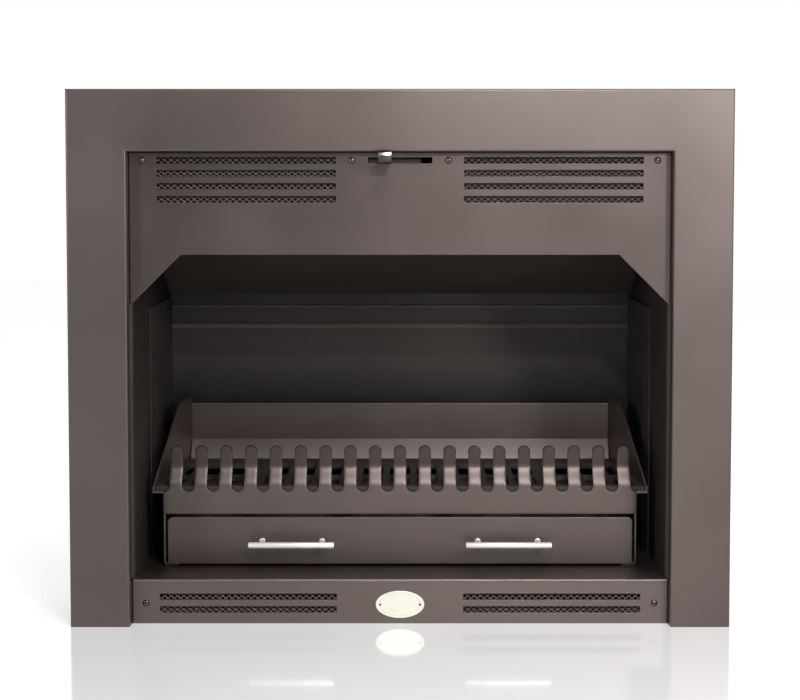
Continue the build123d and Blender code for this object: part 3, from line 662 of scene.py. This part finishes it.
for level in ("upper", "lower"):
    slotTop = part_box(f"vent_mesh_{level}_right")[1].z - vent["border"]
    finish = ventFinish(f"vent_mesh_{level}_finish", slotTop)
    for side in ("right", "left"):
        node = f"vent_mesh_{level}_{side}"
        low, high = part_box(node)
        values = meshSettings | {"Width": high.x - low.x, "Height": high.z - low.z, "Material": finish}
        mesh = bakeTree(expandedMetal, values)
        mesh.transform(Matrix.Translation((low + high) / 2))
        name = "ventMesh" + level.title() + side.title()
        finishPiece(name, mesh, "fireplace_body", "mesh_metal", [node], 30.0, finish)
print("fireplace: expanded metal woven")


# Domed heads: panel screws, plate pins, handle screws and casing rivets

screwSettings = {"Radius": headRadius, "Rise": 0.0022, "Socket Radius": 0.0014, "Socket Depth": 0.001}
pinSettings = {"Radius": 0.0018, "Rise": 0.0013, "Socket Radius": 0.0004, "Socket Depth": 0.0003}
innerSettings = {"Radius": 0.0042, "Rise": 0.0018, "Socket Radius": 0.0013, "Socket Depth": 0.0009}
rivetSettings = {"Radius": 0.0035, "Rise": 0.0013, "Socket Radius": 0.0007, "Socket Depth": 0.0005}
headDetails = {"rows": 12, "sides": 24, "socketSides": 6, "weld": 0.00001}
quarter = math.pi / 2
facing = {
    "front": (quarter, 0, 0), "back": (-quarter, 0, 0), "right": (0, quarter, 0), "left": (0, -quarter, 0),
    "up": (0, 0, 0),
}


def makeDomedHeads():
    inputs = {"Places": "Geometry", "Turn": "Rotation", "Material": "Material"}
    tree, given, out = newPieceTree("domedHeads", inputs | screwSettings)
    tip = combine(tree, z=given["Rise"])
    axis = nodeOut(tree, "GeometryNodeCurvePrimitiveLine", {"End": tip})
    fine = nodeOut(tree, "GeometryNodeResampleCurve", {"Curve": axis, "Count": headDetails["rows"]})
    along = addNode(tree, "GeometryNodeSplineParameter").outputs["Factor"]
    # the dome is half an ellipse, with its points closer together near the crown
    bent = calc(tree, "SINE", times(tree, along, quarter))
    radius = calc(tree, "SQRT", calc(tree, "MAXIMUM", minus(tree, 1.0, times(tree, bent, bent)), 0.0))
    shaped = moveTo(tree, fine, Position=combine(tree, z=times(tree, bent, given["Rise"])))
    sized = nodeOut(tree, "GeometryNodeSetCurveRadius", {"Curve": shaped, "Radius": radius})
    feeds = {"Resolution": headDetails["sides"], "Radius": given["Radius"]}
    circle = nodeOut(tree, "GeometryNodeCurvePrimitiveCircle", feeds)
    feeds = {"Curve": sized, "Profile Curve": circle, "Scale": radius, "Fill Caps": True}
    dome = nodeOut(tree, "GeometryNodeCurveToMesh", feeds)
    feeds = {"Geometry": dome, "Distance": headDetails["weld"]}
    closed = nodeOut(tree, "GeometryNodeMergeByDistance", feeds)
    # a six-sided socket sunk in the crown
    deep = times(tree, given["Socket Depth"], 2.0)
    feeds = {"Vertices": headDetails["socketSides"], "Radius": given["Socket Radius"], "Depth": deep}
    key = nodeOut(tree, "GeometryNodeMeshCylinder", feeds)
    raised = nodeOut(tree, "GeometryNodeTransform", {"Geometry": key, "Translation": tip})
    cut = nodeOut(tree, "GeometryNodeMeshBoolean", {0: closed, 1: raised}, operation="DIFFERENCE")
    return repeatPiece(tree, given, out, given["Places"], cut, turn=given["Turn"])


domedHeads = makeDomedHeads()


def headMesh(places, side, sizes):
    points = bpy.data.meshes.new("places")
    points.from_pydata(places, [], [])
    return bakeTree(domedHeads, sizes | {"Turn": facing[side], "Material": finishes["bright_steel"]}, points)


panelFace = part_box("upper_front_panel")[0].y
screwPlaces = [(side * screwX, panelFace, z) for side in (-1, 1) for z in (screwTop, screwBottom)]
screwPlaces += [(side * front["innerScrew"], panelFace, screwTop) for side in (-1, 1)]
mesh = headMesh(screwPlaces, "front", screwSettings)
dark = finishes["screw_head"]
finishPiece("panelScrews", mesh, "fireplace_body", "bright_steel", ["panel_screws"], material=dark)


# Bare oval plate: a pressed enamel dish with a rolled rim, held by two pins

plate = {
    "steps": 72, "pinSide": 0.031, "pinLift": 0.15,
    "rings": (
        (1.0, 0.0), (0.985, 0.65), (0.955, 0.95), (0.92, 0.8), (0.88, 0.72), (0.6, 0.82), (0.3, 0.9), (0.0, 0.93),
    ),
}


def makeNamePlate():
    # Each ring is (share of the half size, share of the plate's thickness)
    angles = [2 * math.pi * step / plate["steps"] for step in range(plate["steps"])]
    shape = bmesh.new()
    rings = []
    for size, lift in plate["rings"]:
        y = plateHigh.y - (plateHigh.y - plateLow.y) * lift
        wide, tall = plateHalf.x * size, plateHalf.z * size
        rings.append([
            shape.verts.new((plateMiddle.x + wide * math.cos(angle), y, plateMiddle.z + tall * math.sin(angle)))
            for angle in angles
        ])
    bridgeRings(shape, rings)
    shape.faces.new(rings[0])
    return meshFromShape(shape, "ovalPlate")


finishPiece("ovalPlate", makeNamePlate(), "fireplace_body", "plate_enamel", ["name_plate"], 60.0)
pinFace = plateLow.y + (plateHigh.y - plateLow.y) * plate["pinLift"]
pinPlaces = [(side * plate["pinSide"], pinFace, plateMiddle.z) for side in (-1, 1)]
mesh = headMesh(pinPlaces, "front", pinSettings)
dark = finishes["shaded_zinc"]
finishPiece("platePins", mesh, "fireplace_body", "bright_steel", ["name_plate_pins"], material=dark)
print("fireplace: screws, plate and pins made")


# Basket front: one bent sheet cut into round-ended fingers

fingerSettings = {
    "Count": 19, "Pitch": 0.04, "Finger Width": 0.02, "Root Level": 0.190, "Low Bend": 0.2015, "High Bend": 0.227,
    "Bend Length": 0.0035, "Lean": 0.017, "Hook": 0.003,
}
fingerRows = {"apron": 6, "root": 8, "shank": 35, "tip": 8, "columns": 4}
# the levels and depth of the painted shade above the upper bend, and the width of the painted dark rim round the tips
fingerDetails = {
    "sheet": 0.003, "ease": 0.0004, "weld": 0.00005, "wear": 0.1, "ragged": 0.002, "fingerShade": (-0.004, 0.006),
    "fingerShadeDepth": 0.55, "rim": (0.0017, 0.0011), "rimFoot": -0.001,
}


def makeFingerRow():
    inputs = {"Foot Level": 0.15, "Tip Level": 0.26, "Material": "Material"}
    tree, given, out = newPieceTree("fingerRow", fingerSettings | inputs)
    rootRow = fingerRows["apron"]
    shankRow = rootRow + fingerRows["root"]
    tipRow = shankRow + fingerRows["shank"]
    rowCount = tipRow + fingerRows["tip"] + 1
    feeds = {"Vertices X": fingerRows["columns"] + 1, "Vertices Y": rowCount}
    grid = nodeOut(tree, "GeometryNodeMeshGrid", feeds)
    index = nodeOut(tree, "GeometryNodeInputIndex")
    row = calc(tree, "MODULO", index, float(rowCount))
    column = calc(tree, "FLOOR", calc(tree, "DIVIDE", index, float(rowCount)))
    across = minus(tree, calc(tree, "DIVIDE", column, fingerRows["columns"] / 2), 1.0)

    def share(first, part):  # 0 below a part's rows, 1 above them
        return scaleTo(tree, row, float(first), float(first + fingerRows[part]))

    halfPitch = calc(tree, "DIVIDE", given["Pitch"], 2.0)
    tipRadius = calc(tree, "DIVIDE", given["Finger Width"], 2.0)
    gapRadius = minus(tree, halfPitch, tipRadius)
    gapAngle = times(tree, share(rootRow, "root"), quarter)
    tipAngle = times(tree, share(tipRow, "tip"), quarter)
    # half the width at each row: full pitch on the apron, narrowing round the gaps, closing at the tip
    halfWidth = minus(tree, halfPitch, times(tree, gapRadius, calc(tree, "SINE", gapAngle)))
    halfWidth = times(tree, halfWidth, calc(tree, "COSINE", tipAngle))
    # the height of each row
    apron = times(tree, minus(tree, given["Root Level"], given["Foot Level"]), share(0, "apron"))
    gapRise = times(tree, gapRadius, minus(tree, 1.0, calc(tree, "COSINE", gapAngle)))
    shank = minus(tree, minus(tree, given["Tip Level"], tipRadius), addUp(tree, given["Root Level"], gapRadius))
    shankRise = times(tree, shank, share(shankRow, "shank"))
    tipRise = times(tree, tipRadius, calc(tree, "SINE", tipAngle))
    height = addUp(tree, given["Foot Level"], apron, gapRise, shankRise, tipRise)
    # two bends: back, then slightly forward again
    softLow = minus(tree, given["Low Bend"], given["Bend Length"])
    softHigh = addUp(tree, given["High Bend"], given["Bend Length"])
    leaned = scaleTo(tree, height, softLow, softHigh, interpolation_type="SMOOTHSTEP")
    back = times(tree, given["Lean"], leaned)
    hook = times(tree, given["Hook"], scaleTo(tree, height, given["High Bend"], given["Tip Level"]))
    place = combine(tree, times(tree, across, halfWidth), minus(tree, back, hook), height)
    finger = moveTo(tree, grid, Position=place)
    first = times(tree, halfPitch, minus(tree, 1.0, given["Count"]))
    line = pointRow(tree, given["Count"], combine(tree, first), combine(tree, given["Pitch"]))
    return repeatPiece(tree, given, out, line, finger, weld=fingerDetails["weld"])


frontLow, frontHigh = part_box("basket_front")


def fingerShadeMarks(tree, place, grain):
    # Painted shade above the upper bend, darkest on the rounded rims of the tips
    parts = splitPlace(tree, place)
    ragged, radius = fingerDetails["ragged"], fingerSettings["Finger Width"] / 2
    uneven = addUp(tree, parts["Z"], scaleTo(tree, grain["Clouds"], 0.0, 1.0, -ragged, ragged))
    levels = [fingerSettings["High Bend"] + above for above in fingerDetails["fingerShade"]]
    upperShade = scaleTo(tree, uneven, *levels, 0.0, fingerDetails["fingerShadeDepth"])
    across = calc(tree, "PINGPONG", parts["X"], fingerSettings["Pitch"] / 2)
    above = minus(tree, parts["Z"], frontHigh.z - radius)
    reach = vectorCalc(tree, "LENGTH", combine(tree, across, above))["Value"]
    edge = scaleTo(tree, reach, *(radius - inside for inside in fingerDetails["rim"]))
    rim = times(tree, edge, calc(tree, "GREATER_THAN", above, fingerDetails["rimFoot"]))
    return [(calc(tree, "MAXIMUM", upperShade, rim), "fingerShade")]


fingerFinish = coatFinish("finger_finish", coats["basket_paint"] | {"wear": fingerDetails["wear"]}, fingerShadeMarks)
fingerValues = fingerSettings | {"Foot Level": frontLow.z, "Tip Level": frontHigh.z, "Material": fingerFinish}
fingers = bakeTree(makeFingerRow(), fingerValues)
fingers.transform(Matrix.Translation((0.0, frontLow.y + fingerDetails["sheet"] / 2, 0.0)))
thicken = ("SOLIDIFY", {"thickness": fingerDetails["sheet"], "offset": 0.0, "use_even_offset": True}, {})
fingers = bakeModifiers(fingers, thicken, easeEdges(fingerDetails["ease"]))
finishPiece("fingerFront", fingers, "fire_basket", "panel_paint", ["basket_front"], 35.0, fingerFinish)
print("fireplace: finger front bent")


# Hem along the top of the basket's back

hem = {"sheet": 0.003, "rise": 0.0046, "sink": 0.0001, "inset": 0.001, "turns": 10}


def makeHem():
    low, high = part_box("basket_back")
    radius, foot = hem["sheet"] / 2, high.z - hem["sink"]
    middle, top = high.y - radius, high.z + hem["rise"] - radius
    angles = [math.pi * turn / hem["turns"] for turn in range(hem["turns"] + 1)]
    section = [(middle + radius, foot)]
    section += [(middle + radius * math.cos(angle), top + radius * math.sin(angle)) for angle in angles]
    section.append((middle - radius, foot))
    sides = (low.x + hem["inset"], high.x - hem["inset"])
    shape = bmesh.new()
    addPrism(shape, [[(x, y, z) for y, z in section] for x in sides])
    return meshFromShape(shape, "backHem")


finishPiece("backHem", makeHem(), "fire_basket", "panel_paint", material=finishes["basket_paint"])


# Drawer handles: bars and posts with eased ends, and the screws that hold them from inside the pan

handles = {
    "centres": 0.096, "ease": 0.0009, "collarRadius": 0.0048, "collarLength": 0.0008, "collarEase": 0.0004,
    "postRadius": 0.004, "postSink": 0.5, "barSides": 40, "postSides": 28, "panSheet": 0.002,
}


def easedBar(length, radius, ease):
    end = [(0, radius - ease), (ease * 0.3, radius - ease * 0.3), (ease, radius)]
    return end + [(length - distance, wide) for distance, wide in reversed(end)]


def makeHandle(node, name):
    low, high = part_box(node)
    middle = (low + high) / 2
    radius = (high.z - low.z) / 2
    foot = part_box("handle_posts")[1].y
    reach = foot - middle.y - radius * handles["postSink"]
    collar, collarRadius = handles["collarLength"], handles["collarRadius"]
    neck, postRadius = collar + handles["collarEase"], handles["postRadius"]
    post = [(0, collarRadius), (collar, collarRadius), (neck, postRadius), (reach, postRadius)]
    shape = bmesh.new()
    bar = easedBar(high.x - low.x, radius, handles["ease"])
    addTurned(shape, bar, (low.x, middle.y, middle.z), (1, 0, 0), handles["barSides"])
    for side in (-1, 1):
        x = middle.x + side * handles["centres"] / 2
        addTurned(shape, post, (x, foot, middle.z), (0, -1, 0), handles["postSides"])
    return finishPiece(name, meshFromShape(shape, name), "ash_drawer", "handle_chrome", [node], 35.0)


rightHandle = makeHandle("handle_bar_right", "handleRight")
makeHandle("handle_bar_left", "handleLeft")
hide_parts("handle_posts")
barLow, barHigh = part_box("handle_bar_right")
barMiddle = (barLow + barHigh) / 2
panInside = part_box("ash_pan")[0].y + handles["panSheet"]
insidePlaces = [
    (side * barMiddle.x + end * handles["centres"] / 2, panInside, barMiddle.z)
    for side in (-1, 1) for end in (-1, 1)
]
finishPiece("handleScrews", headMesh(insidePlaces, "back", innerSettings), "ash_drawer", "bright_steel")
print("fireplace: handles turned")


# Damper lever: a folded tab whose upper front edge is ground off bright and a little askew

lever = {
    "sheet": 0.003, "fold": 0.0035, "innerFold": 0.0005, "grind": 0.0042, "grindShare": 0.75, "slant": 0.0012,
    "turns": 6, "ease": 0.0005,
}
leverLook = {
    "dark": (0.026, 0.022, 0.020), "mottle": (0.05, 0.043, 0.040), "bright": (0.62, 0.61, 0.6),
    "lines": (0.8, 0.79, 0.78), "rubbed": (0.14, 0.13, 0.12), "ground": (0.0052, 0.0044), "ragged": 0.0006,
    "metal": (0.2, 1.0), "smooth": 0.5, "rough": 0.28, "clouds": 0.012, "grain": 0.0008, "height": 0.00002,
    "wear": 0.6, "fold": 0.0007, "line": 0.0004, "stretch": 50.0,
}


def makeLever():
    low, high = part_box("damper_lever")
    sheet, fold, grind, share = (lever[key] for key in ("sheet", "fold", "grind", "grindShare"))
    inner = max(fold - sheet, lever["innerFold"])
    angles = [quarter * step / lever["turns"] for step in range(lever["turns"] + 1)]
    section = [(high.y, low.z)]
    section += [(low.y + fold - fold * math.sin(a), low.z + fold - fold * math.cos(a)) for a in angles]
    section += [(low.y, high.z - grind), (low.y + sheet * share, high.z), (low.y + sheet, high.z)]
    y, z = low.y + sheet + inner, low.z + sheet + inner
    section += [(y - inner * math.sin(a), z - inner * math.cos(a)) for a in reversed(angles)]
    section.append((high.y, low.z + sheet))
    sections = [
        [(x, y, z - drop if z > high.z - 1.1 * grind else z) for y, z in section]  # only the ground top slants
        for x, drop in ((low.x, lever["slant"]), (high.x, 0.0))
    ]
    shape = bmesh.new()
    addPrism(shape, sections)
    return bakeModifiers(meshFromShape(shape, "damperTab"), easeEdges(lever["ease"]))


def leverFinish(name):
    # Dark oxide on the tab, bright where the top was ground
    material, tree, surface, place = startFinish(name)
    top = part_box("damper_lever")[1].z
    worn, grain = wearOf(tree, place, leverLook), grainOf(tree, place, leverLook)
    uneven = addUp(tree, splitPlace(tree, place)["Z"], times(tree, grain["Clouds"], leverLook["ragged"]))
    ground = scaleTo(tree, uneven, *(top - below for below in leverLook["ground"]))
    dark = blendLooks(tree, grain["Clouds"], leverLook, "dark", "mottle")
    dark = blendColors(tree, worn["Mask"], dark, leverLook["rubbed"])
    bright = blendLooks(tree, linesOf(tree, place, leverLook), leverLook, "bright", "lines")
    color = blendColors(tree, ground, dark, bright)
    dress(tree, surface, leverLook, color, roughnessOf(tree, ground, leverLook), grain["Grain"], worn)
    feed(tree, surface["Metallic"], scaleTo(tree, ground, 0.0, 1.0, *leverLook["metal"]))
    return material


finish = leverFinish("lever_finish")
finishPiece("leverTab", makeLever(), "damper_slider", "bright_steel", ["damper_lever"], 35.0, finish)
print("fireplace: damper lever folded")


# Rivets along the outer casing, and screws through the flue collar

rivetDetails = {
    "spacing": 0.11, "end": 0.03, "sideInset": 0.012, "topInset": 0.014, "collarInset": 0.012, "collarSheet": 0.002,
}


def rivetRow(low, high):
    clear = high - low - 2 * rivetDetails["end"]
    count = round(clear / rivetDetails["spacing"])
    return [low + rivetDetails["end"] + clear * step / count for step in range(count + 1)]


def casingRivets():
    low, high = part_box("casing_side_right")
    inset, topInset, corner = rivetDetails["sideInset"], rivetDetails["topInset"], rivetDetails["collarInset"]
    shape = bmesh.new()
    for side, label in ((-1, "left"), (1, "right")):
        places = [(side * high.x, y, z) for y in (low.y + inset, high.y - inset) for z in rivetRow(low.z, high.z)]
        shape.from_mesh(headMesh(places, label, rivetSettings))
    low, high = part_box("casing_top")
    places = [(x, y, high.z) for y in (low.y + topInset, high.y - topInset) for x in rivetRow(low.x, high.x)]
    shape.from_mesh(headMesh(places, "up", rivetSettings))
    collarTop = high.z + rivetDetails["collarSheet"]
    low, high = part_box("flue_spigot")
    places = [(x, y, collarTop) for x in (low.x + corner, high.x - corner) for y in (low.y + corner, high.y - corner)]
    shape.from_mesh(headMesh(places, "up", screwSettings))
    mesh = bpy.data.meshes.new("casingRivets")
    shape.to_mesh(mesh)
    shape.free()
    return mesh


finishPiece("casingRivets", casingRivets(), "fireplace_body", "bright_steel")
print("fireplace: casing riveted")


# Stage: floor, world, lamps and camera

stage = {
    "floorColor": (0.80, 0.80, 0.80), "mottle": 0.985, "size": 14.0, "lift": 0.24, "liftBehind": 0.6, "shine": 0.25,
    "polish": (0.10, 0.14), "matt": 0.8, "polishEnds": (-0.17, 0.5), "ior": 1.6, "coatRough": 0.06, "clouds": 0.8,
    "grain": 0.004, "ambient": 0.11, "room": 0.06, "backdrop": 1.0, "backdropEnds": (-0.3, 0.3),
}
lamps = {
    "keyLamp": {"place": (0.28, -1.45, 1.26), "aim": (0.1, -0.2, 0.5), "size": 0.06, "power": 6.8},
    "rightLamp": {"place": (1.25, -1.8, 1.17), "aim": (0.2, -0.2, 0.5), "size": 0.35, "power": 21.0},
    "leftLamp": {"place": (-2.04, -1.68, 1.05), "aim": (-0.1, -0.2, 0.45), "size": 0.4, "power": 18.0},
    "topLamp": {"place": (0.3, -1.8, 2.6), "aim": (0.1, -0.1, 0.2), "size": 0.7, "power": 32.0},
    "lowLamp": {"place": (0.3, -2.3, 0.25), "aim": (0.1, -0.2, 0.3), "size": 0.6, "power": 2.0},
}
camera = {
    "place": (0.0, -2.62, 0.7187), "tilt": 3.0, "sensor": 36.0, "lens": 71.05, "shift": -0.1315, "reach": 60.0,
}


def makeFloor():
    mesh = bpy.data.meshes.new("studioFloor")
    half = stage["size"] / 2
    mesh.from_pydata([(-half, -half, 0), (half, -half, 0), (half, half, 0), (-half, half, 0)], [], [(0, 1, 2, 3)])
    floor = bpy.data.objects.new("studioFloor", mesh)
    scene.collection.objects.link(floor)
    material, tree, surface, place = startFinish("studioFloorFinish")
    grain = grainOf(tree, place, stage)
    pale = stage["floorColor"]
    mottled = tuple(share * stage["mottle"] for share in pale)
    feed(tree, surface["Base Color"], blendColors(tree, grain["Clouds"], pale, mottled))
    # polished before the object, and softly turning to plain matt behind it
    behind = scaleTo(tree, splitPlace(tree, place)["Y"], *stage["polishEnds"])
    polish = scaleTo(tree, grain["Grain"], 0.0, 1.0, *stage["polish"])
    feed(tree, surface["Roughness"], addUp(tree, polish, times(tree, behind, stage["matt"])))
    feed(tree, surface["Coat Weight"], minus(tree, 1.0, behind))
    surface["IOR"].default_value = stage["ior"]
    surface["Coat IOR"].default_value = stage["ior"]
    surface["Coat Roughness"].default_value = stage["coatRough"]
    # the camera sees the floor a little lifted, so that it is white where nothing shades it
    rays = addNode(tree, "ShaderNodeLightPath").outputs
    shine = times(tree, rays["Is Glossy Ray"], stage["shine"])
    lift = addUp(tree, stage["lift"], times(tree, behind, stage["liftBehind"]))
    glow = addUp(tree, shine, times(tree, rays["Is Camera Ray"], lift))
    glow = nodeOut(tree, "ShaderNodeEmission", {"Color": (1, 1, 1, 1), "Strength": glow})
    both = nodeOut(tree, "ShaderNodeAddShader", {0: tree.nodes["Principled BSDF"].outputs[0], 1: glow})
    feed(tree, tree.nodes["Material Output"].inputs["Surface"], both)
    mesh.materials.append(material)


def makeWorld():
    world = bpy.data.worlds.new("studioWorld")
    world.use_nodes = True
    tree = world.node_tree
    tree.nodes.clear()
    # the camera sees white, and shiny surfaces see a white backdrop behind the object and a dimmer room before it
    rays = addNode(tree, "ShaderNodeLightPath").outputs
    toward = splitPlace(tree, addNode(tree, "ShaderNodeTexCoord").outputs["Generated"])["Y"]
    mirrored = scaleTo(tree, toward, *stage["backdropEnds"], stage["room"], stage["backdrop"])
    shiny = calc(tree, "MAXIMUM", rays["Is Glossy Ray"], rays["Is Transmission Ray"])
    strength = scaleTo(tree, shiny, 0.0, 1.0, stage["ambient"], mirrored)
    strength = scaleTo(tree, rays["Is Camera Ray"], 0.0, 1.0, strength, 1.0)
    sky = nodeOut(tree, "ShaderNodeBackground", {"Color": (1, 1, 1, 1), "Strength": strength})
    addNode(tree, "ShaderNodeOutputWorld", {"Surface": sky})
    scene.world = world


def makeLamp(name, lamp):
    light = bpy.data.lights.new(name, "AREA")
    light.shape = "DISK"
    light.size = lamp["size"]
    light.energy = lamp["power"]
    holder = bpy.data.objects.new(name, light)
    holder.location = lamp["place"]
    holder.rotation_euler = (Vector(lamp["aim"]) - Vector(lamp["place"])).to_track_quat("-Z", "Y").to_euler()
    scene.collection.objects.link(holder)


def makeCamera():
    view = bpy.data.cameras.new("photoCamera")
    view.sensor_width = camera["sensor"]
    view.lens = camera["lens"]
    view.shift_y = camera["shift"]
    view.clip_end = camera["reach"]
    holder = bpy.data.objects.new("photoCamera", view)
    holder.location = camera["place"]
    holder.rotation_euler = (math.radians(90 - camera["tilt"]), 0, 0)
    scene.collection.objects.link(holder)
    scene.camera = holder


makeFloor()
makeWorld()
for name, lamp in lamps.items():
    makeLamp(name, lamp)
makeCamera()
scene.view_settings.view_transform = "Standard"
print("fireplace: stage lit")
